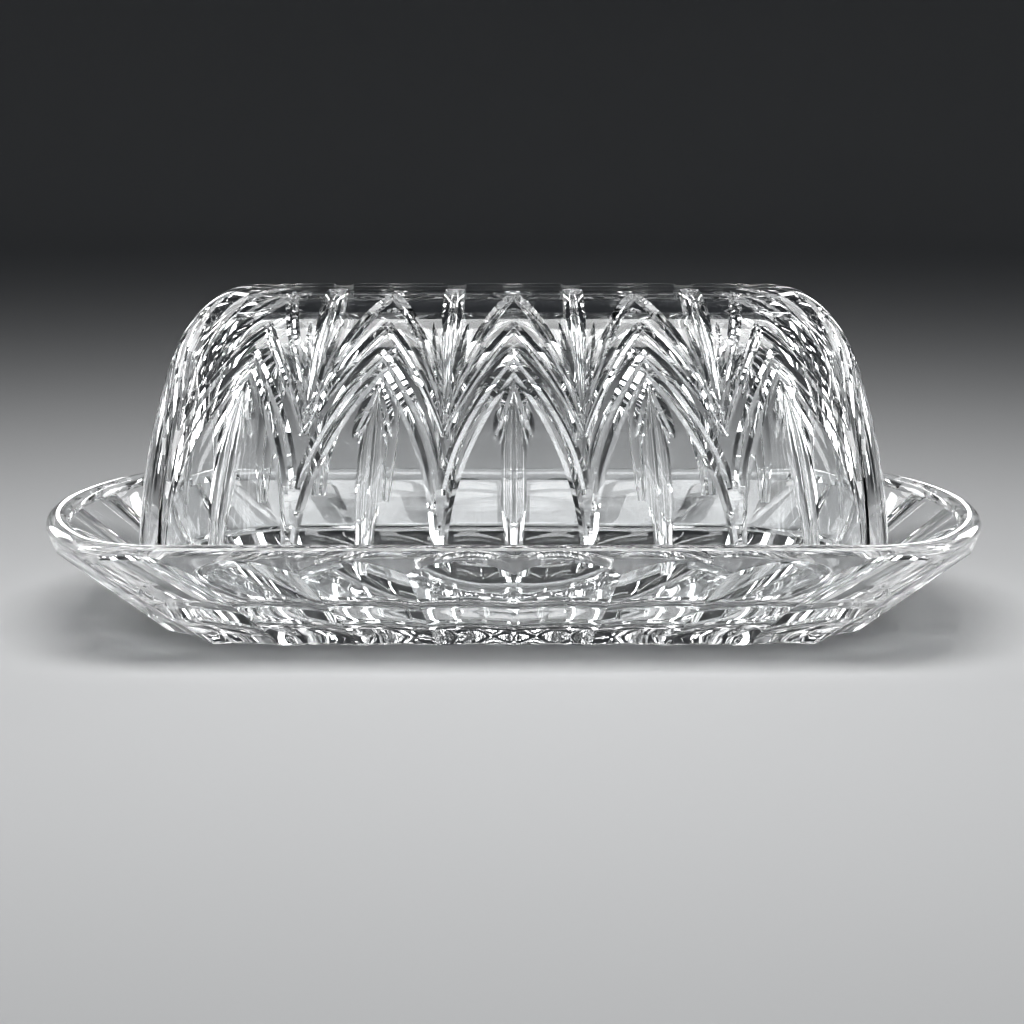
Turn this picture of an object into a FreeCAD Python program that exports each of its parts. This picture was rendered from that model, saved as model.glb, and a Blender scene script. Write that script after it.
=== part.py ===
import FreeCAD, Part
import math
import os

# Covered butter dish in clear cut glass, in millimetres, +Z up.
# Origin: centre of the flat foot, on the surface the dish stands on. +X runs along the dish.
# Two loose pieces: a boat-shaped dish with fluted walls, and a hollow cover that stands on a
# ledge inside the dish.

V = FreeCAD.Vector

# --- dish ---
RIM_HALF_LENGTH = 109.3
RIM_HALF_WIDTH = 59.0
RIM_CORNER_RADIUS = 24.0
RIM_END_RADIUS = 95.0
RIM_HEIGHT = 26.2
RIM_THICKNESS = 5.6
RIM_ROUNDING = 2.6
BAND_HEIGHT = 19.6            # where the flutes run out under the plain rim band
BAND_INSET = 1.0              # the band leans in by this much at its lower edge
FOOT_HALF_LENGTH = 85.4
FOOT_HALF_WIDTH = 39.3
FOOT_CORNER_RADIUS = 14.0
FOOT_END_RADIUS = 48.0
FLUTES_PER_QUARTER = 6.5      # a ridge on the middle of each side, a flute on the tip of each end
FLUTE_DEPTH_TOP = 2.1
FLUTE_DEPTH_FOOT = 1.5
RIDGE_INSET = 0.3
FLUTE_TOP_HEIGHT = 29.0       # the fluted wall is built past the rim, then trimmed by the band
LEDGE_HEIGHT = 13.0
FLOOR_HEIGHT = 7.0
LEDGE_WIDTH = 6.6
WELL_TAPER = 1.8

# --- cover ---
COVER_HALF_LENGTH = 88.2
COVER_HALF_WIDTH = 43.6
COVER_CORNER_RADIUS = 33.0
COVER_END_RADIUS = 76.0
COVER_TOP_HEIGHT = 77.1
SHOULDER_RADIUS = 26.2
WALL_RADIUS = 130.0           # the side wall bows in gently from a vertical start
COVER_WALL = 5.0
SEAT_PLAY = 1.2               # room round the cover where it drops into the dish
SEAT_GAP = 0.15               # hair gap between the cover's edge and the ledge
CORNER_SHRINK = 0.76          # corner radius lost per mm of inset
END_SHRINK = 1.3              # end radius lost per mm of inset
END_FULLNESS = 135.0          # the ends come in less than the sides: inset * (1 - inset / this)

# --- arched cuts round the cover ---
BAYS = 14                     # one on the middle of each side, a pier between bays on each end
WINDOW_DEPTH = 1.2
WINDOW_WIDTH = 25.0
WINDOW_FOOT = 19.0            # height of the window's sill
WINDOW_SPRING = 34.0          # height where the straight jambs turn into the pointed arch
WINDOW_APEX = 60.0

COVER_BOTTOM = LEDGE_HEIGHT + SEAT_GAP


class Plan:
    """A rounded oblong: straight sides, corner arcs and bowed ends, all tangent."""

    def __init__(self, half_length, half_width, corner, end):
        self.a, self.b, self.rc, self.re = half_length, half_width, corner, end
        self.end_x = half_length - end
        self.corner_y = half_width - corner
        self.corner_x = self.end_x + math.sqrt((end - corner) ** 2 - self.corner_y ** 2)
        self.turn = math.asin(self.corner_y / (end - corner))
        self.corner_len = corner * (math.pi / 2 - self.turn)
        self.quarter = self.corner_x + self.corner_len + end * self.turn

    def quarter_point(self, s):
        """Point and outward direction at arc length s from the middle of the +Y side to the tip."""
        if s <= self.corner_x:
            return s, self.b, math.pi / 2
        s -= self.corner_x
        if s <= self.corner_len:
            angle = math.pi / 2 - s / self.rc
            return self.corner_x + self.rc * math.cos(angle), self.corner_y + self.rc * math.sin(angle), angle
        angle = self.turn - (s - self.corner_len) / self.re
        return self.end_x + self.re * math.cos(angle), self.re * math.sin(angle), angle

    def point(self, t):
        """Point and outward angle at t quarters round, clockwise from the middle of the +Y side."""
        quadrant = int(math.floor(t)) % 4
        u = t - math.floor(t)
        forward = quadrant in (0, 2)
        x, y, angle = self.quarter_point((u if forward else 1.0 - u) * self.quarter)
        if quadrant == 1:
            return x, -y, -angle
        if quadrant == 2:
            return -x, -y, math.pi + angle
        if quadrant == 3:
            return -x, y, math.pi - angle
        return x, y, angle

    def wire(self, z):
        """The whole outline at height z: two lines and six arcs."""
        half_turn = self.turn / 2
        mid = (math.pi / 2 + self.turn) / 2
        tip_x = self.end_x + self.re * math.cos(self.turn)
        tip_y = self.re * math.sin(self.turn)
        mid_x = self.corner_x + self.rc * math.cos(mid)
        mid_y = self.corner_y + self.rc * math.sin(mid)
        edges = []
        for sx, sy in ((1, 1), (1, -1), (-1, -1), (-1, 1)):
            side = V(sx * self.corner_x, sy * self.b, z)
            join = V(sx * tip_x, sy * tip_y, z)
            edges.append(Part.Arc(side, V(sx * mid_x, sy * mid_y, z), join).toShape())
        for sx in (1, -1):
            upper = V(sx * tip_x, tip_y, z)
            lower = V(sx * tip_x, -tip_y, z)
            edges.append(Part.Arc(upper, V(sx * self.a, 0, z), lower).toShape())
        for sy in (1, -1):
            edges.append(Part.makeLine(V(-self.corner_x, sy * self.b, z), V(self.corner_x, sy * self.b, z)))
        return Part.Wire(Part.__sortEdges__(edges))


def dish_plan(inset):
    return Plan(RIM_HALF_LENGTH - inset, RIM_HALF_WIDTH - inset, RIM_CORNER_RADIUS - inset, RIM_END_RADIUS - inset)


def cover_plan(inset):
    """The cover's outline, inset from its bottom edge; negative insets grow it evenly."""
    corner_rate = CORNER_SHRINK if inset > 0 else 1.0
    end_rate = END_SHRINK if inset > 0 else 1.0
    end_inset = inset * (1 - inset / END_FULLNESS) if inset > 0 else inset
    return Plan(
        COVER_HALF_LENGTH - end_inset,
        COVER_HALF_WIDTH - inset,
        COVER_CORNER_RADIUS - corner_rate * inset,
        COVER_END_RADIUS - end_rate * inset,
    )


def flared_plan(z):
    """The dish's straight flared wall at height z, from the foot out to the band."""
    k = z / BAND_HEIGHT
    return Plan(
        FOOT_HALF_LENGTH + k * (RIM_HALF_LENGTH - BAND_INSET - FOOT_HALF_LENGTH),
        FOOT_HALF_WIDTH + k * (RIM_HALF_WIDTH - BAND_INSET - FOOT_HALF_WIDTH),
        FOOT_CORNER_RADIUS + k * (RIM_CORNER_RADIUS - FOOT_CORNER_RADIUS),
        FOOT_END_RADIUS + k * (RIM_END_RADIUS - FOOT_END_RADIUS),
    )


def fluted_wire(plan, z, depth):
    """A ring of shallow hollow arcs that meet in sharp ridges."""
    count = int(4 * FLUTES_PER_QUARTER)

    def inset_point(t, inset):
        x, y, angle = plan.point(t)
        return V(x - inset * math.cos(angle), y - inset * math.sin(angle), z)

    edges = []
    for i in range(count):
        start = inset_point(i / FLUTES_PER_QUARTER, RIDGE_INSET)
        end = inset_point((i + 1) / FLUTES_PER_QUARTER, RIDGE_INSET)
        chord_middle = (start + end) * 0.5
        angle = plan.point((i + 0.5) / FLUTES_PER_QUARTER)[2]
        middle = chord_middle - V(math.cos(angle), math.sin(angle), 0) * depth
        edges.append(Part.Arc(start, middle, end).toShape())
    return Part.Wire(edges)


def loft(wires):
    return Part.makeLoft(wires, True, True)


def rim_rounding(steps=4):
    """(height, inset) pairs round one shoulder of the rim, from its side to its flat top."""
    angles = [math.pi / 2 * i / steps for i in range(steps + 1)]
    return [(RIM_HEIGHT - RIM_ROUNDING * (1 - math.sin(a)), RIM_ROUNDING * (1 - math.cos(a))) for a in angles]


def make_dish():
    grow = (FLUTE_DEPTH_TOP - FLUTE_DEPTH_FOOT) / BAND_HEIGHT
    fluted = loft([
        fluted_wire(flared_plan(0), 0, FLUTE_DEPTH_FOOT),
        fluted_wire(flared_plan(FLUTE_TOP_HEIGHT), FLUTE_TOP_HEIGHT, FLUTE_DEPTH_FOOT + grow * FLUTE_TOP_HEIGHT),
    ])
    band_top = RIM_HEIGHT - RIM_ROUNDING
    band_slope = BAND_INSET / (band_top - BAND_HEIGHT)
    band = loft([dish_plan(band_slope * band_top).wire(0)]
                + [dish_plan(inset).wire(z) for z, inset in rim_rounding()])
    body = fluted.common(band)

    upper = loft([cover_plan(-SEAT_PLAY).wire(LEDGE_HEIGHT)]
                 + [dish_plan(RIM_THICKNESS - inset).wire(z) for z, inset in rim_rounding()])
    ledge_inside = cover_plan(LEDGE_WIDTH - SEAT_PLAY)
    floor = cover_plan(LEDGE_WIDTH - SEAT_PLAY + WELL_TAPER)
    well = loft([floor.wire(FLOOR_HEIGHT), ledge_inside.wire(LEDGE_HEIGHT)])
    return body.cut(upper).cut(well)


def cover_profile(offset=0.0, steps=4):
    """(height, inset) pairs up the cover's side: a bowed wall arc, then the shoulder arc.

    offset moves the whole profile inwards, for the inside of the cover.
    """
    shoulder_z = COVER_TOP_HEIGHT - SHOULDER_RADIUS
    gap = WALL_RADIUS - SHOULDER_RADIUS
    start_angle = math.asin((shoulder_z - COVER_BOTTOM) / gap)
    top_inset = WALL_RADIUS - gap * math.cos(start_angle)
    points = []
    for i in range(steps + 1):
        angle = start_angle * i / steps
        radius = WALL_RADIUS - offset
        points.append((COVER_BOTTOM + radius * math.sin(angle), WALL_RADIUS - radius * math.cos(angle)))
    for i in range(1, 2 * steps + 1):
        angle = start_angle + (math.pi / 2 - start_angle) * i / (2 * steps)
        radius = SHOULDER_RADIUS - offset
        points.append((shoulder_z + radius * math.sin(angle), top_inset - radius * math.cos(angle)))
    return points


def dome(offset):
    return loft([cover_plan(inset).wire(z) for z, inset in cover_profile(offset)])


def window_prism(t):
    """A pointed-arch prism that points out of the cover at t quarters round."""
    x, y, angle = cover_plan(0).point(t)
    half = WINDOW_WIDTH / 2
    rise = WINDOW_APEX - WINDOW_SPRING
    bow = V(half * 0.72, 0, WINDOW_SPRING + rise * 0.52)
    sill_left, sill_right = V(-half, 0, WINDOW_FOOT), V(half, 0, WINDOW_FOOT)
    jamb_left, jamb_right = V(-half, 0, WINDOW_SPRING), V(half, 0, WINDOW_SPRING)
    apex = V(0, 0, WINDOW_APEX)
    outline = Part.Wire([
        Part.makeLine(jamb_left, sill_left),
        Part.makeLine(sill_left, sill_right),
        Part.makeLine(sill_right, jamb_right),
        Part.Arc(jamb_right, bow, apex).toShape(),
        Part.Arc(apex, V(-bow.x, 0, bow.z), jamb_left).toShape(),
    ])
    depth = COVER_HALF_WIDTH - 8
    prism = Part.Face(outline).extrude(V(0, -depth - 4, 0))
    prism.translate(V(0, 4, 0))
    prism.rotate(V(0, 0, 0), V(0, 0, 1), math.degrees(angle) - 90)
    prism.translate(V(x, y, 0))
    return prism


def make_cover():
    outside = dome(0.0)
    inside = loft([cover_plan(COVER_WALL).wire(COVER_BOTTOM - 1)]
                  + [cover_plan(inset).wire(z) for z, inset in cover_profile(COVER_WALL)])
    skin = outside.cut(dome(WINDOW_DEPTH))
    windows = [skin.common(window_prism(4.0 * i / BAYS)) for i in range(BAYS)]
    return outside.cut(inside).cut(windows)


def main():
    os.makedirs("parts", exist_ok=True)
    for name, shape in (("dish", make_dish()), ("cover", make_cover())):
        solid = shape.Solids[0]
        print(name, "solids", len(shape.Solids), "valid", shape.isValid(), "volume", round(shape.Volume))
        solid.exportStep("parts/%s.step" % name)


main()
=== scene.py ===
import math

import bmesh
import bpy
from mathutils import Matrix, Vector
from mathutils.bvhtree import BVHTree
from mathutils.geometry import barycentric_transform


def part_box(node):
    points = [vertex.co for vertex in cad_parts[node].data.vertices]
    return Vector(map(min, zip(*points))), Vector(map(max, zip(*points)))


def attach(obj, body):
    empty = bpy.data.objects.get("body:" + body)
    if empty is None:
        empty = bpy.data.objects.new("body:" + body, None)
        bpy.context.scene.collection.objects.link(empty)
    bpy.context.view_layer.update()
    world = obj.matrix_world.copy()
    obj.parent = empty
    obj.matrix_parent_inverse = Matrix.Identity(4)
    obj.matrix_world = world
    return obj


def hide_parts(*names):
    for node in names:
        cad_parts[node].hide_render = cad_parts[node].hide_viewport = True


# A covered butter dish in clear cut crystal. The dish and the cover are each one closed piece of
# glass, built here as detailed meshes that stand for the two CAD nodes. Lengths of the glass are in
# millimetres, and lengths in the studio (floor, lights and camera) are in metres.

MM = 0.001

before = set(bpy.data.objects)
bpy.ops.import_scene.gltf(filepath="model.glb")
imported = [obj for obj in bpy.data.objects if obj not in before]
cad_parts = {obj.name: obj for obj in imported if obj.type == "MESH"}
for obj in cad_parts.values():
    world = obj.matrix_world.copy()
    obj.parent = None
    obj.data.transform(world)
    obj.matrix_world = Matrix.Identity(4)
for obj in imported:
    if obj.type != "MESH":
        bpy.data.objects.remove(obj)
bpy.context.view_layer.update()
dish_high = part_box("dish")[1] / MM
cover_low, cover_high = (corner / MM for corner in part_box("cover"))

# --- dish: the overall sizes come from the frame ---
RIM_HEIGHT = dish_high.z
RIM_HALF_LENGTH = dish_high.x
RIM_HALF_WIDTH = dish_high.y
RIM_CORNER_RADIUS = 24.0
RIM_END_RADIUS = 95.0
RIM_THICKNESS = 5.6
RIM_ROUNDING = 2.6
BAND_HEIGHT = 19.6            # where the flutes run out under the plain rim band
BAND_INSET = 1.0              # the band leans in by this much at its lower edge
FOOT_HALF_LENGTH = 85.4
FOOT_HALF_WIDTH = 39.3
FOOT_CORNER_RADIUS = 14.0
FOOT_END_RADIUS = 48.0
FOOT_ROUNDING = 0.7
FLUTES = 26
FLUTE_COLUMNS = 22            # mesh columns in one flute
FLUTE_DEPTH_TOP = 2.1
FLUTE_DEPTH_FOOT = 1.5
RIDGE_INSET = 0.3
FLUTE_TOP_HEIGHT = 29.0       # the fluted wall is drawn past the rim, then ends at the band
LEDGE_HEIGHT = 13.0
FLOOR_HEIGHT = 7.0
LEDGE_WIDTH = 6.6
WELL_TAPER = 1.8
SEAT_PLAY = 1.2               # room round the cover where it drops into the dish
INSIDE_RADII = (1.0, 0.8, 2.0)        # rounding where the wall meets the ledge, at its edge, at the floor
INSIDE_STEPS = (10, 3, 4)             # mesh rows down the wall, across the ledge, down the well
DISC_SHARES = (0.45, 0.8)             # rings that divide the underside and the floor
DISH_SHARP_ANGLE = 28.0

# --- cover ---
COVER_HALF_LENGTH = cover_high.x
COVER_HALF_WIDTH = cover_high.y
COVER_BOTTOM = cover_low.z
COVER_TOP = cover_high.z
COVER_CORNER_RADIUS = 33.0
COVER_END_RADIUS = 76.0
CORNER_SHRINK = 0.76          # corner radius lost per mm of inset
END_SHRINK = 1.3              # end radius lost per mm of inset
END_FULLNESS = 135.0          # the ends come in less than the sides: inset * (1 - inset / this)
SHOULDER_RADIUS = 26.2
WALL_RADIUS = 130.0           # the side wall bows in gently from a vertical start
COVER_WALL = 5.0
BAYS = 14                     # one on the middle of each side, a pier on the tip of each end
BAY_COLUMNS = 34              # mesh columns in one bay
OUTER_ROWS = 72
INNER_ROWS = 40
PIER_LEAN = 0.19              # share of its distance from the middle that a pier comes in by the top
LEAN_POWER = 1.6
COVER_SHARP_ANGLE = 24.0
SAME_SURFACE = 0.94           # a face this close to the dome's direction is shaded as the dome


class Plan:
    """A rounded oblong: straight sides, corner arcs and bowed ends, all tangent."""

    def __init__(self, half_length, half_width, corner_radius, end_radius):
        self.half_width = half_width
        self.corner_radius, self.end_radius = corner_radius, end_radius
        self.end_x = half_length - end_radius
        self.corner_y = half_width - corner_radius
        centres = end_radius - corner_radius
        self.corner_x = self.end_x + math.sqrt(centres ** 2 - self.corner_y ** 2)
        self.turn = math.asin(self.corner_y / centres)
        self.corner_length = corner_radius * (math.pi / 2 - self.turn)
        self.end_length = end_radius * self.turn
        self.quarter = self.corner_x + self.corner_length + self.end_length

    def stretch(self, s):
        """Which stretch of a quarter arc length s falls on (side, corner, end), and how far along it."""
        if s <= self.corner_x:
            return 0, s / self.corner_x
        s -= self.corner_x
        if s <= self.corner_length:
            return 1, s / self.corner_length
        return 2, min((s - self.corner_length) / self.end_length, 1.0)

    def quarter_point(self, stretch, share):
        """Point and outward angle in the +X +Y quarter."""
        if stretch == 0:
            return share * self.corner_x, self.half_width, math.pi / 2
        if stretch == 1:
            angle = math.pi / 2 - share * (math.pi / 2 - self.turn)
            x = self.corner_x + self.corner_radius * math.cos(angle)
            return x, self.corner_y + self.corner_radius * math.sin(angle), angle
        angle = self.turn * (1 - share)
        return self.end_x + self.end_radius * math.cos(angle), self.end_radius * math.sin(angle), angle

    def locate(self, x, y):
        """How far inside this outline a point lies, and the outward direction there."""
        ax, ay = abs(x), abs(y)
        if ax <= self.corner_x:
            inset, nx, ny = self.half_width - ay, 0.0, 1.0
        else:
            dx, dy, reach = ax - self.corner_x, ay - self.corner_y, self.corner_radius
            if math.atan2(dy, dx) < self.turn:
                dx, dy, reach = ax - self.end_x, ay, self.end_radius
            radius = math.hypot(dx, dy)
            inset, nx, ny = reach - radius, dx / radius, dy / radius
        return inset, math.copysign(nx, x), math.copysign(ny, y)


def quadrant_share(quarters):
    """Splits a place round an outline, in quarters clockwise from the middle of the +Y side, into its
    quadrant and its share of the way from the middle of a side to the tip of an end."""
    quadrant = min(int(quarters), 3)
    share = quarters - quadrant
    return quadrant, share if quadrant in (0, 2) else 1 - share


def mirrored(quadrant, x, y, angle):
    """A point of the +X +Y quarter carried into one of the four quadrants, clockwise from +Y."""
    if quadrant == 1:
        return x, -y, -angle
    if quadrant == 2:
        return -x, -y, math.pi + angle
    if quadrant == 3:
        return -x, y, math.pi - angle
    return x, y, angle


def plan_point(plan, turn):
    """Point and outward angle at turn (0 to 1) round the outline."""
    quadrant, share = quadrant_share(turn % 1.0 * 4)
    return mirrored(quadrant, *plan.quarter_point(*plan.stretch(plan.quarter * share)))


def arc_steps(count):
    """Angles from 0 to a quarter turn."""
    return [math.pi / 2 * i / count for i in range(count + 1)]


def ring_faces(rings, columns, start=0, flipped=False):
    """Quads between closed rings of vertices, which follow each other from index start."""
    faces = []
    for r in range(rings - 1):
        low, high = start + r * columns, start + (r + 1) * columns
        for c in range(columns):
            d = (c + 1) % columns
            face = (low + c, low + d, high + d, high + c)
            faces.append((face[0], face[3], face[2], face[1]) if flipped else face)
    return faces


def new_object(name, vertices, faces, materials, slot=0):
    """A mesh object from vertices in millimetres, with every face on one material slot."""
    mesh = bpy.data.meshes.new(name)
    mesh.from_pydata([v * MM for v in vertices], [], faces)
    for material in materials:
        mesh.materials.append(material)
    mesh.polygons.foreach_set("material_index", [slot] * len(mesh.polygons))
    mesh.validate()
    obj = bpy.data.objects.new(name, mesh)
    bpy.context.scene.collection.objects.link(obj)
    return obj


def turn_outward(obj):
    """Makes every face of each closed part look outwards."""
    work = bmesh.new()
    work.from_mesh(obj.data)
    bmesh.ops.recalc_face_normals(work, faces=work.faces)
    if work.calc_volume(signed=True) < 0:
        bmesh.ops.reverse_faces(work, faces=work.faces)
    work.to_mesh(obj.data)
    work.free()


# ---------------------------------------------------------------- materials

def new_material(name, settings):
    material = bpy.data.materials.new(name)
    material.use_nodes = True
    shader = material.node_tree.nodes["Principled BSDF"]
    for socket, value in settings.items():
        shader.inputs[socket].default_value = value
    return material, material.node_tree, shader


def add_node(tree, kind, settings):
    node = tree.nodes.new(kind)
    for socket, value in settings.items():
        node.inputs[socket].default_value = value
    return node


def crystal(name, smear, ripple):
    """Clear lead crystal. smear is how far the polish varies, ripple the faint unevenness of the face."""
    clear = {"Base Color": (0.985, 0.992, 0.995, 1), "Transmission Weight": 1.0, "IOR": 1.54}
    material, tree, shader = new_material(name, clear)
    place = add_node(tree, "ShaderNodeTexCoord", {}).outputs["Object"]

    polish = add_node(tree, "ShaderNodeTexNoise", {"Scale": 90.0, "Detail": 4.0})
    limits = {"From Min": 0.45, "From Max": 0.85, "To Min": 0.0, "To Max": smear}
    spread = add_node(tree, "ShaderNodeMapRange", limits)
    tree.links.new(place, polish.inputs["Vector"])
    tree.links.new(polish.outputs["Fac"], spread.inputs["Value"])
    tree.links.new(spread.outputs["Result"], shader.inputs["Roughness"])

    wave = add_node(tree, "ShaderNodeTexNoise", {"Scale": 55.0, "Detail": 1.0})
    bump = add_node(tree, "ShaderNodeBump", {"Strength": ripple, "Distance": 0.001})
    tree.links.new(place, wave.inputs["Vector"])
    tree.links.new(wave.outputs["Fac"], bump.inputs["Height"])
    tree.links.new(bump.outputs["Normal"], shader.inputs["Normal"])
    return material


def pale_floor():
    """Matt pale grey, barely mottled, with no gleam of its own."""
    material, tree, shader = new_material("pale_floor", {"Roughness": 0.85, "Specular IOR Level": 0.0})
    place = add_node(tree, "ShaderNodeTexCoord", {}).outputs["Object"]
    noise = add_node(tree, "ShaderNodeTexNoise", {"Scale": 3.0})
    ramp = add_node(tree, "ShaderNodeValToRGB", {})
    ramp.color_ramp.elements[0].color = (0.60, 0.605, 0.61, 1)
    ramp.color_ramp.elements[1].color = (0.64, 0.645, 0.65, 1)
    tree.links.new(place, noise.inputs["Vector"])
    tree.links.new(noise.outputs["Fac"], ramp.inputs["Fac"])
    tree.links.new(ramp.outputs["Color"], shader.inputs["Base Color"])
    return material


# ---------------------------------------------------------------- outlines

RIM_PLAN = Plan(RIM_HALF_LENGTH, RIM_HALF_WIDTH, RIM_CORNER_RADIUS, RIM_END_RADIUS)


def flared_plan(z):
    """The line of the fluted wall's ridges at height z."""
    k = z / BAND_HEIGHT
    return Plan(
        FOOT_HALF_LENGTH + k * (RIM_HALF_LENGTH - BAND_INSET - FOOT_HALF_LENGTH),
        FOOT_HALF_WIDTH + k * (RIM_HALF_WIDTH - BAND_INSET - FOOT_HALF_WIDTH),
        FOOT_CORNER_RADIUS + k * (RIM_CORNER_RADIUS - FOOT_CORNER_RADIUS),
        FOOT_END_RADIUS + k * (RIM_END_RADIUS - FOOT_END_RADIUS),
    )


def cover_plan(inset):
    """The cover's outline drawn in by inset. A negative inset leaves an even margin round it."""
    corner_rate, end_rate, end_inset = 1.0, 1.0, inset
    if inset > 0:
        corner_rate, end_rate = CORNER_SHRINK, END_SHRINK
        end_inset = inset * (1 - inset / END_FULLNESS)
    return Plan(
        COVER_HALF_LENGTH - end_inset,
        COVER_HALF_WIDTH - inset,
        COVER_CORNER_RADIUS - corner_rate * inset,
        COVER_END_RADIUS - end_rate * inset,
    )


# ---------------------------------------------------------------- dish

def flute_point(plan, column, depth, z):
    """A point of the fluted ring: a parabolic hollow between two ridges."""
    flute, step = divmod(column, FLUTE_COLUMNS)
    share = step / FLUTE_COLUMNS
    ridges = []
    for i in (flute, flute + 1):
        x, y, angle = plan_point(plan, i / FLUTES)
        ridges.append(Vector((x - RIDGE_INSET * math.cos(angle), y - RIDGE_INSET * math.sin(angle), z)))
    angle = plan_point(plan, (flute + 0.5) / FLUTES)[2]
    hollow = depth * 4 * share * (1 - share)
    return ridges[0].lerp(ridges[1], share) - Vector((math.cos(angle), math.sin(angle), 0)) * hollow


def band_inset(z):
    """Inset of the plain rim band from its widest line at height z, rounding included."""
    round_start = RIM_HEIGHT - RIM_ROUNDING
    if z <= round_start:
        return (round_start - z) * BAND_INSET / (round_start - BAND_HEIGHT)
    sine = min((z - round_start) / RIM_ROUNDING, 1.0)
    return RIM_ROUNDING * (1 - math.sqrt(1 - sine * sine))


def band_crossing(wall):
    """Where one line up the fluted wall runs out under the rim band, found by halving."""
    below, above, halvings = 0.0, RIM_HEIGHT, 24
    for _ in range(halvings):
        middle = (below + above) / 2
        point = wall(middle)
        if RIM_PLAN.locate(point.x, point.y)[0] > band_inset(middle):
            below = middle
        else:
            above = middle
    return wall(below)


def foot_points(low, wall):
    """Out across the underside and round its small edge into the wall."""
    points = [Vector((low.x * share, low.y * share, 0)) for share in DISC_SHARES]
    corner = low - Vector((low.x, low.y, 0)).normalized() * FOOT_ROUNDING
    for angle in arc_steps(3):
        z = FOOT_ROUNDING * (1 - math.cos(angle))
        point = Vector((corner.x, corner.y, 0)).lerp(wall(z), math.sin(angle))
        point.z = z
        points.append(point)
    return points


def rim_points(crossing):
    """Up the plain band from the flute's end, over the rounded lip and down to the inside."""
    inset, nx, ny = RIM_PLAN.locate(crossing.x, crossing.y)
    normal = Vector((nx, ny, 0))
    base = Vector((crossing.x, crossing.y, 0)) + normal * inset
    lip_start = max(RIM_HEIGHT - RIM_ROUNDING, crossing.z)
    band_steps, lip_steps = 3, 8
    heights = [crossing.z + (lip_start - crossing.z) * i / band_steps for i in range(1, band_steps + 1)]
    heights += [lip_start + (RIM_HEIGHT - lip_start) * math.sin(a) for a in arc_steps(lip_steps)[1:]]
    points = [base - normal * band_inset(z) + Vector((0, 0, z)) for z in heights]
    inner_edge = RIM_THICKNESS - RIM_ROUNDING
    for angle in reversed(arc_steps(lip_steps)):
        z = RIM_HEIGHT - RIM_ROUNDING * (1 - math.sin(angle))
        inward = inner_edge + RIM_ROUNDING * math.cos(angle)
        points.append(base - normal * inward + Vector((0, 0, z)))
    return points


def rounded_steps(corners, radii, runs):
    """Walks a section's corners, rounding each inner one, with runs steps on each straight run. It
    stops after the last rounding."""
    points = []
    last, round_steps = corners[0], 4
    for i, radius in enumerate(radii):
        corner, after = corners[i + 1], corners[i + 2]
        into = (corner - corners[i]).normalized()
        out = (after - corner).normalized()
        start, end = corner - into * radius, corner + out * radius
        for k in range(1, runs[i] + 1):
            points.append(last.lerp(start, k / runs[i]))
        for k in range(1, round_steps + 1):
            t = k / round_steps
            points.append(start * (1 - t) ** 2 + corner * 2 * t * (1 - t) + end * t * t)
        last = end
    return points


def dish_column(column, foot, top, seat, well_edge, floor):
    """One section of the dish from the middle of its underside, up the wall and down to the floor."""
    deepening = (FLUTE_DEPTH_TOP - FLUTE_DEPTH_FOOT) / BAND_HEIGHT
    low = flute_point(foot, column, FLUTE_DEPTH_FOOT, 0.0)
    high = flute_point(top, column, FLUTE_DEPTH_FOOT + deepening * FLUTE_TOP_HEIGHT, FLUTE_TOP_HEIGHT)
    turn = column / (FLUTES * FLUTE_COLUMNS)
    wall_rows = 12

    def wall(z):
        return low.lerp(high, z / FLUTE_TOP_HEIGHT)

    def on(plan, z):
        x, y, _ = plan_point(plan, turn)
        return Vector((x, y, z))

    crossing = band_crossing(wall)
    points = foot_points(low, wall)
    for i in range(1, wall_rows + 1):
        points.append(wall(FOOT_ROUNDING + (crossing.z - FOOT_ROUNDING) * i / wall_rows))
    points += rim_points(crossing)
    corners = [points[-1], on(seat, LEDGE_HEIGHT), on(well_edge, LEDGE_HEIGHT), on(floor, FLOOR_HEIGHT),
               Vector((0, 0, FLOOR_HEIGHT))]
    points += rounded_steps(corners, INSIDE_RADII, INSIDE_STEPS)
    inner = points[-1]
    points += [Vector((inner.x * share, inner.y * share, FLOOR_HEIGHT)) for share in reversed(DISC_SHARES)]
    return points


def make_dish(glass):
    foot, top = flared_plan(0), flared_plan(FLUTE_TOP_HEIGHT)
    seat = cover_plan(-SEAT_PLAY)
    well_edge = cover_plan(LEDGE_WIDTH - SEAT_PLAY)
    floor = cover_plan(LEDGE_WIDTH - SEAT_PLAY + WELL_TAPER)
    columns = FLUTES * FLUTE_COLUMNS
    grid = [dish_column(c, foot, top, seat, well_edge, floor) for c in range(columns)]
    rows = len(grid[0])
    vertices = [grid[c][r] for r in range(rows) for c in range(columns)]
    faces = ring_faces(rows, columns)
    faces.append(tuple(range(columns)))
    faces.append(tuple(range((rows - 1) * columns, rows * columns)))
    dish = new_object("crystal_dish", vertices, faces, [glass])
    turn_outward(dish)
    dish.data.set_sharp_from_angle(angle=math.radians(DISH_SHARP_ANGLE))
    return dish


# ---------------------------------------------------------------- cover: the uncut dome

SHOULDER_Z = COVER_TOP - SHOULDER_RADIUS
ARC_GAP = WALL_RADIUS - SHOULDER_RADIUS
WALL_ANGLE = math.asin((SHOULDER_Z - COVER_BOTTOM) / ARC_GAP)
TOP_INSET = WALL_RADIUS - ARC_GAP * math.cos(WALL_ANGLE)
WALL_LENGTH = WALL_RADIUS * WALL_ANGLE
PROFILE_LENGTH = WALL_LENGTH + SHOULDER_RADIUS * (math.pi / 2 - WALL_ANGLE)
BOTTOM_PLAN = cover_plan(0)
BAY = 4 * BOTTOM_PLAN.quarter / BAYS
HALF = BAY / 2
LAST_SIDE_PIER = 1.5 * BAY


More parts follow.
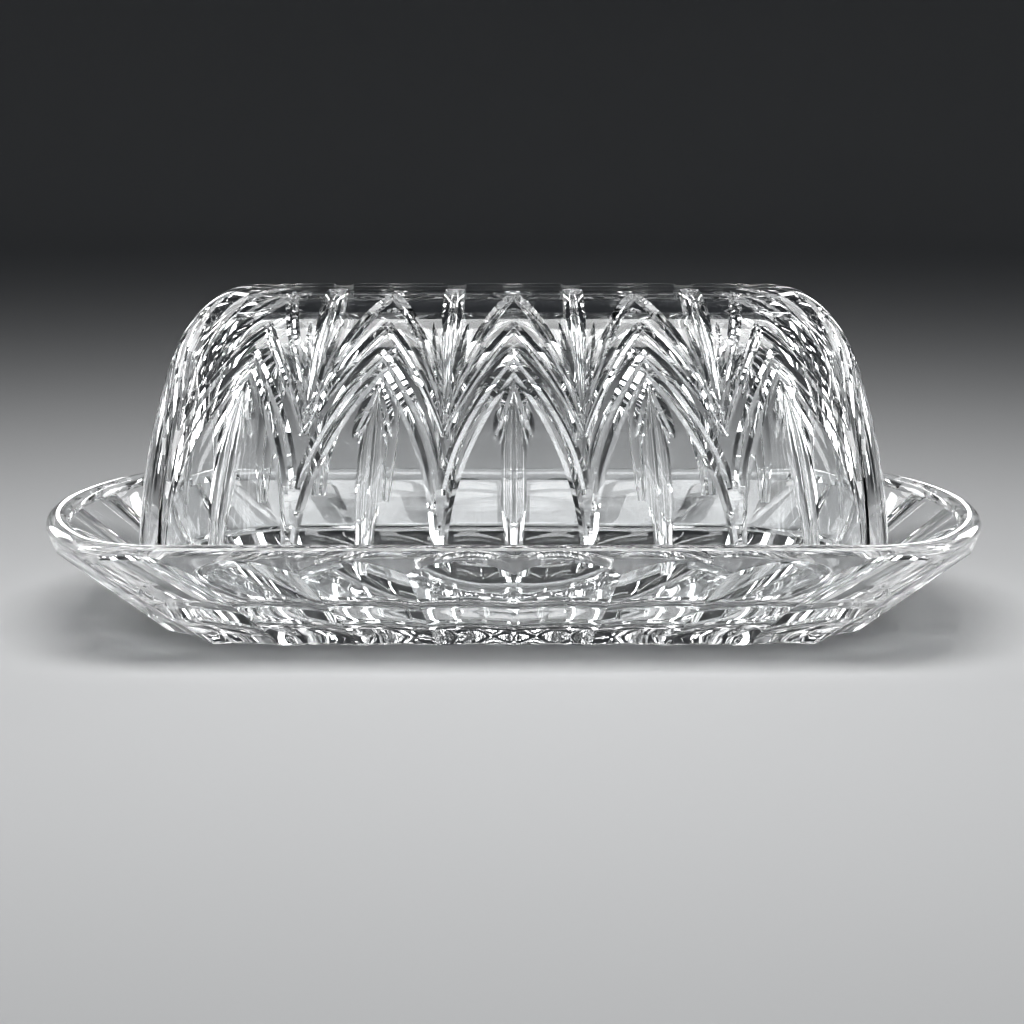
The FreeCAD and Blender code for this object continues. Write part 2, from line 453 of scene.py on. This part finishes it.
def profile(s, offset=0.0):
    """(inset, height) at length s up the cover's side; past the shoulder it runs in over the flat top."""
    if s <= WALL_LENGTH:
        angle = s / WALL_RADIUS
        radius = WALL_RADIUS - offset
        return WALL_RADIUS - radius * math.cos(angle), COVER_BOTTOM + radius * math.sin(angle)
    if s <= PROFILE_LENGTH:
        angle = WALL_ANGLE + (s - WALL_LENGTH) / SHOULDER_RADIUS
        radius = SHOULDER_RADIUS - offset
        return TOP_INSET - radius * math.cos(angle), SHOULDER_Z + radius * math.sin(angle)
    return TOP_INSET + s - PROFILE_LENGTH, COVER_TOP - offset


def drawn_in(along, plan, z):
    """Where a point of the bottom edge moves along a higher outline: the piers lean in as they rise."""
    height = max(z - COVER_BOTTOM, 0.0) / (COVER_TOP - COVER_BOTTOM)
    lean = 1 - PIER_LEAN * height ** LEAN_POWER
    if along <= LAST_SIDE_PIER:
        return along * lean
    rest = (along - LAST_SIDE_PIER) / (BOTTOM_PLAN.quarter - LAST_SIDE_PIER)
    return LAST_SIDE_PIER * lean + rest * (plan.quarter - LAST_SIDE_PIER * lean)


def cover_point(around, s, offset=0.0):
    """Point of the cover's skin; around is the arc length along its bottom edge, and offset is how far
    under the skin it lies."""
    inset, z = profile(s, offset)
    plan = cover_plan(inset)
    quadrant, share = quadrant_share(around / BOTTOM_PLAN.quarter % 4)
    length = drawn_in(share * BOTTOM_PLAN.quarter, plan, z)
    x, y, _ = mirrored(quadrant, *plan.quarter_point(*plan.stretch(length)))
    return Vector((x, y, z))


def cover_normal(around, s):
    step = 0.05
    across = cover_point(around + step, s) - cover_point(around - step, s)
    up = cover_point(around, s + step) - cover_point(around, s - step)
    return up.cross(across).normalized()


def make_dome(materials):
    """The cover before it is cut. Its inside has half as many columns as its outside."""
    columns = BAYS * BAY_COLUMNS
    inner_columns = columns // 2
    vertices = []
    for r in range(OUTER_ROWS + 1):
        s = PROFILE_LENGTH * r / OUTER_ROWS
        vertices += [cover_point(BAY * BAYS * c / columns, s) for c in range(columns)]
    inner = len(vertices)
    for r in range(INNER_ROWS + 1):
        s = PROFILE_LENGTH * r / INNER_ROWS
        vertices += [cover_point(BAY * BAYS * c / inner_columns, s, COVER_WALL) for c in range(inner_columns)]
    faces = ring_faces(OUTER_ROWS + 1, columns, flipped=True)
    faces += ring_faces(INNER_ROWS + 1, inner_columns, inner)
    for c in range(inner_columns):
        d = (c + 1) % inner_columns
        faces.append((2 * c, 2 * c + 1, (2 * c + 2) % columns, inner + d, inner + c))
    faces.append(tuple(OUTER_ROWS * columns + c for c in range(columns)))
    faces.append(tuple(inner + INNER_ROWS * inner_columns + c for c in range(inner_columns)))
    dome = new_object("crystal_cover", vertices, faces, materials)
    turn_outward(dome)
    return dome


# ---------------------------------------------------------------- cover: the cuts

LIFT = 0.7                    # how far the cutting wheel's section stands proud of the skin
MITRE = 0.42                  # depth of a V cut as a share of its width
HOLLOW = 0.27                 # depth of a hollow cut as a share of its width
TWIN_VALLEY = 0.2             # shape of a twin cut, as shares of its width: valley's place, its depth,
TWIN_DEPTH = 0.36             # and the depth of the ridge between the valleys
TWIN_RIDGE = 0.19
ON_PIER = 0.5                 # shift, in bays, of a cut that stands on a pier


def v_section(width):
    half = width / 2 + LIFT / (2 * MITRE)
    return [(-half, LIFT), (0.0, -MITRE * width), (half, LIFT)]


def twin_section(width):
    """Two V cuts side by side that share a low ridge."""
    valley, depth, ridge = TWIN_VALLEY * width, TWIN_DEPTH * width, TWIN_RIDGE * width
    half = width / 2 + LIFT * (width / 2 - valley) / depth
    return [(-half, LIFT), (-valley, -depth), (0.0, -ridge), (valley, -depth), (half, LIFT)]


def hollow_section(width):
    """A shallow round-bottomed cut."""
    depth, half, steps = HOLLOW * width, width / 2, 8
    points = [(-half - LIFT, LIFT)]
    for i in range(steps + 1):
        share = -1 + 2 * i / steps
        points.append((half * share, -depth * (1 - share * share)))
    points.append((half + LIFT, LIFT))
    return points


def cutter_tube(path, widths, section):
    """Vertices and faces of one cut: a section swept along a path on the cover's skin."""
    skin = [cover_point(a, s) for a, s in path]
    vertices = []
    for i, (a, s) in enumerate(path):
        normal = cover_normal(a, s)
        along = (skin[min(i + 1, len(skin) - 1)] - skin[max(i - 1, 0)]).normalized()
        side = normal.cross(along).normalized()
        vertices += [skin[i] + side * u + normal * h for u, h in section(widths[i])]
    count = len(vertices) // len(path)
    faces = ring_faces(len(path), count)
    faces.append(tuple(range(count)))
    faces.append(tuple(range(len(vertices) - count, len(vertices))))
    return vertices, faces


def bezier(first, control, last, count, start=0.0, end=1.0):
    points = []
    for i in range(count + 1):
        t = start + (end - start) * i / count
        points.append(tuple(a * (1 - t) ** 2 + 2 * b * t * (1 - t) + c * t * t
                            for a, b, c in zip(first, control, last)))
    return points


def lens(widest, count, blunt=0.6):
    """Widths of a cut whose wheel dips in and out again."""
    least = 0.02
    return [widest * max(math.sin(math.pi * i / count), 0.0) ** blunt + least for i in range(count + 1)]


# A shape below is called with a side, 1 or -1, and gives the path and the widths of one cut. A path's
# points are (distance from the bay's middle line or the pier's line, height up the skin).

# Arches: section, foot beside the pier line, control point, apex height, widths at foot and apex.
ARCHES = (
    ("arch_outer", twin_section, (HALF, 40.0), (11.9, 53.0), 73.5, 1.4, 2.9),
    ("arch_second", twin_section, (HALF, 35.0), (12.4, 46.5), 60.5, 1.3, 2.7),
    ("arch_third", v_section, (HALF - 0.4, 23.5), (14.4, 38.0), 53.0, 1.7, 2.2),
    ("arch_inner", v_section, (HALF - 0.9, 9.0), (15.4, 31.5), 49.5, 1.8, 2.3),
)


def arch_leg(foot, control, apex, narrow, wide):
    steps, before, past, full_width_at = 40, -0.02, 1.03, 0.6

    def shape(side):
        path = bezier(foot, control, (0.0, apex), steps, before, past)
        grown = [min(i / (full_width_at * steps), 1.0) for i in range(steps + 1)]
        return [(side * x, s) for x, s in path], [narrow + (wide - narrow) * share for share in grown]
    return shape


def petal(side):
    """The broad hollow petal that climbs each pier and ends in a round tip on the flat top."""
    steps, low, high, tip = 54, 34.5, PROFILE_LENGTH + 5.2, 2.3
    narrowest, widest, growth, power, least = 0.3, 4.5, 30.0, 0.8, 0.0004
    path, widths = [], []
    for i in range(steps + 1):
        s = low + (high - low) * math.sin(math.pi / 2 * i / steps)
        width = narrowest + (widest - narrowest) * min((s - low) / growth, 1.0) ** power
        left = high - s
        if left < tip:
            width *= math.sqrt(max(1 - (1 - left / tip) ** 2, least))
        path.append((0.0, s))
        widths.append(width)
    return path, widths


def leaf(side):
    """A slim leaf on each side of the petal."""
    steps, widest = 24, 2.1
    path = bezier((0.7, 36.5), (1.8, 48.0), (4.7, 62.0), steps)
    return [(side * x, s) for x, s in path], lens(widest, steps)


# Height up the skin and width of one mullion slot there.
SLOT_WIDTHS = ((6.5, 1.5), (11.0, 2.0), (20.0, 2.8), (30.0, 2.9), (35.5, 2.5), (41.0, 1.3), (44.5, 0.3))


def slot_width(s):
    """Width of a mullion slot at height s, eased between the listed heights."""
    for (low, start), (high, end) in zip(SLOT_WIDTHS, SLOT_WIDTHS[1:]):
        if s <= high:
            share = (s - low) / (high - low)
            return start + (end - start) * share * share * (3 - 2 * share)
    return SLOT_WIDTHS[-1][1]


def mullion(side):
    """One of the two tall hollow slots that stand side by side in the middle of each window."""
    steps, middle_gap = 36, 0.03
    low, high = SLOT_WIDTHS[0][0], SLOT_WIDTHS[-1][0]
    heights = [low + (high - low) * i / steps for i in range(steps + 1)]
    widths = [slot_width(s) for s in heights]
    return [(side * (w / 2 + middle_gap), s) for w, s in zip(widths, heights)], widths


# Barbs of the arrowhead over the slots: top, tip and greatest width.
BARBS = (
    ("barb_high", (0.3, 46.6), (4.7, 34.0), 2.5),
    ("barb_low", (0.5, 42.5), (3.5, 32.5), 1.5),
)


def barb(top, tip, widest):
    steps, bulge, rise, droop, blunt = 18, 0.72, 0.42, 0.58, 0.8

    def shape(side):
        control = (tip[0] * bulge, top[1] * rise + tip[1] * droop)
        return [(side * x, s) for x, s in bezier(top, control, tip, steps)], lens(widest, steps, blunt)
    return shape


def cut_list():
    """Name, shape, section, side and shift of every cutter. Cuts in one cutter never overlap."""
    cuts = []
    for name, section, *sizes in ARCHES:
        cuts += [(name, arch_leg(*sizes), section, side, 0) for side in (1, -1)]
    cuts.append(("petal", petal, hollow_section, 1, ON_PIER))
    for side in (1, -1):
        cuts.append(("leaf", leaf, v_section, side, ON_PIER))
        cuts.append(("mullion", mullion, hollow_section, side, 0))
        cuts += [(name, barb(*sizes), v_section, side, 0) for name, *sizes in BARBS]
    return cuts


def make_cutter(materials, name, shape, section, side, shift):
    """One object with the same cut in every bay. Its faces carry the cut glass's material slot."""
    path, widths = shape(side)
    vertices, faces = [], []
    for bay in range(BAYS):
        middle = (bay + shift) * BAY
        tube_vertices, tube_faces = cutter_tube([(middle + x, s) for x, s in path], widths, section)
        start = len(vertices)
        vertices += tube_vertices
        faces += [tuple(start + i for i in face) for face in tube_faces]
    cutter = new_object(f"{name}_{side}", vertices, faces, materials, 1)
    turn_outward(cutter)
    return cutter


def polish_normals(obj, skin):
    """Shades the uncut skin by the smooth dome it was cut from, and the cuts by their own facets."""
    mesh = obj.data
    mesh.set_sharp_from_angle(angle=math.radians(COVER_SHARP_ANGLE))
    triangles = [tuple(t.vertices) for t in skin.loop_triangles]
    tree = BVHTree.FromPolygons([v.co for v in skin.vertices], triangles)

    def dome_normal(place):
        nearest, _, triangle, _ = tree.find_nearest(place)
        corners = [skin.vertices[i] for i in triangles[triangle]]
        smooth = barycentric_transform(nearest, *(c.co for c in corners), *(c.normal for c in corners))
        return smooth.normalized()

    found = {}
    normals = [Vector(n.vector) for n in mesh.corner_normals]
    for face in mesh.polygons:
        if face.material_index:
            continue
        for corner in face.loop_indices:
            index = mesh.loops[corner].vertex_index
            if index not in found:
                found[index] = dome_normal(mesh.vertices[index].co)
            if found[index].dot(face.normal) > SAME_SURFACE:
                normals[corner] = found[index]
    mesh.normals_split_custom_set(normals)


def make_cover(materials):
    """The dome with every cut taken out of it."""
    dome = make_dome(materials)
    skin = dome.data.copy()
    skin.calc_loop_triangles()
    cutters = [make_cutter(materials, *cut) for cut in cut_list()]
    for cutter in cutters:
        step = dome.modifiers.new(cutter.name, "BOOLEAN")
        step.operation = "DIFFERENCE"
        step.solver = "MANIFOLD"
        step.object = cutter
    bpy.context.view_layer.update()
    shaped = bpy.data.meshes.new_from_object(dome.evaluated_get(bpy.context.evaluated_depsgraph_get()))
    dome.modifiers.clear()
    dome.data = shaped
    dome.data.name = "crystal_cover"
    for cutter in cutters:
        bpy.data.objects.remove(cutter)
    polish_normals(dome, skin)
    return dome


# ---------------------------------------------------------------- studio, in metres

# Strips of light on each side of the object: bearing from straight behind in degrees, width, height.
STRIPS = (
    ("rear", 17, 0.07, 0.60),
    ("back", 40, 0.20, 0.32),
    ("side", 80, 0.20, 0.60),
    ("front", 128, 0.20, 0.60),
)


def area_light(name, size, power, place, target, lights_floor=True):
    """A rectangular soft box. Those that do not light the floor only show as gleams in the glass."""
    data = bpy.data.lights.new(name, "AREA")
    data.shape = "RECTANGLE"
    data.size, data.size_y = size
    data.energy = power
    light = bpy.data.objects.new(name, data)
    light.visible_camera = False
    light.visible_diffuse = lights_floor
    light.location = place
    light.rotation_euler = (Vector(target) - Vector(place)).to_track_quat("-Z", "Y").to_euler()
    bpy.context.scene.collection.objects.link(light)


def make_lights():
    """A dim room, one soft box overhead, and strips round the object that gleam in its cuts."""
    world = bpy.data.worlds.new("studio")
    world.use_nodes = True
    world.node_tree.nodes["Background"].inputs["Color"].default_value = (0.03, 0.032, 0.035, 1)
    bpy.context.scene.world = world
    area_light("top_box", (0.5, 0.30), 2.6, (0.0, -0.08, 0.52), (0, -0.02, 0))
    reach, lowest, watts_per_area, target = 0.95, 0.03, 17.0, (0, 0, 0.05)
    for side, hand in ((-1, "left"), (1, "right")):
        for name, bearing, width, height in STRIPS:
            turn = math.radians(bearing)
            place = (side * reach * math.sin(turn), reach * math.cos(turn), lowest + height / 2)
            power = watts_per_area * width * height
            area_light(f"{name}_strip_{hand}", (width, height), power, place, target, False)


def make_stage():
    """A round pale floor that curves up into a low wall all round."""
    flat, bend, wall_height, segments, gap = 1.5, 0.5, 0.9, 96, 0.0001
    flat_steps, bend_steps = 6, 12
    section = [(flat * k / flat_steps, 0.0) for k in range(1, flat_steps + 1)]
    section += [(flat + bend * math.sin(a), bend * (1 - math.cos(a))) for a in arc_steps(bend_steps)[1:]]
    section.append((flat + bend, wall_height))
    vertices = [Vector((0, 0, -gap))]
    for radius, z in section:
        for i in range(segments):
            angle = math.tau * i / segments
            vertices.append(Vector((radius * math.cos(angle), radius * math.sin(angle), z - gap)))
    faces = [(0, 1 + i, 1 + (i + 1) % segments) for i in range(segments)]
    faces += ring_faces(len(section), segments, 1, flipped=True)
    floor = new_object("studio_floor", [v / MM for v in vertices], faces, [pale_floor()])
    floor.data.shade_smooth()


def make_camera():
    """A long lens a little above the table, square on to the long side."""
    distance, elevation, aim_height, sideways = 0.574, math.radians(12.0), 0.0238, -0.0004
    data = bpy.data.cameras.new("camera")
    data.lens, data.sensor_width = 84.4, 36.0
    camera = bpy.data.objects.new("camera", data)
    camera.location = (sideways, -distance * math.cos(elevation), distance * math.sin(elevation))
    aim = Vector((sideways, 0, aim_height)) - camera.location
    camera.rotation_euler = aim.to_track_quat("-Z", "Y").to_euler()
    bpy.context.scene.collection.objects.link(camera)
    bpy.context.scene.camera = camera


# ---------------------------------------------------------------- assembly

polished = crystal("crystal_polished", 0.02, 0.06)
cut = crystal("crystal_cut", 0.03, 0.08)

make_camera()
make_stage()
make_lights()

dish = make_dish(polished)
cover = make_cover([polished, cut])
for piece, node in ((dish, "dish"), (cover, "cover")):
    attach(piece, node)
    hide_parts(node)

scene = bpy.context.scene
scene.view_settings.view_transform = "Standard"
scene.view_settings.look = "Medium High Contrast"
scene.cycles.max_bounces = 24
scene.cycles.transmission_bounces = 24
scene.cycles.glossy_bounces = 12
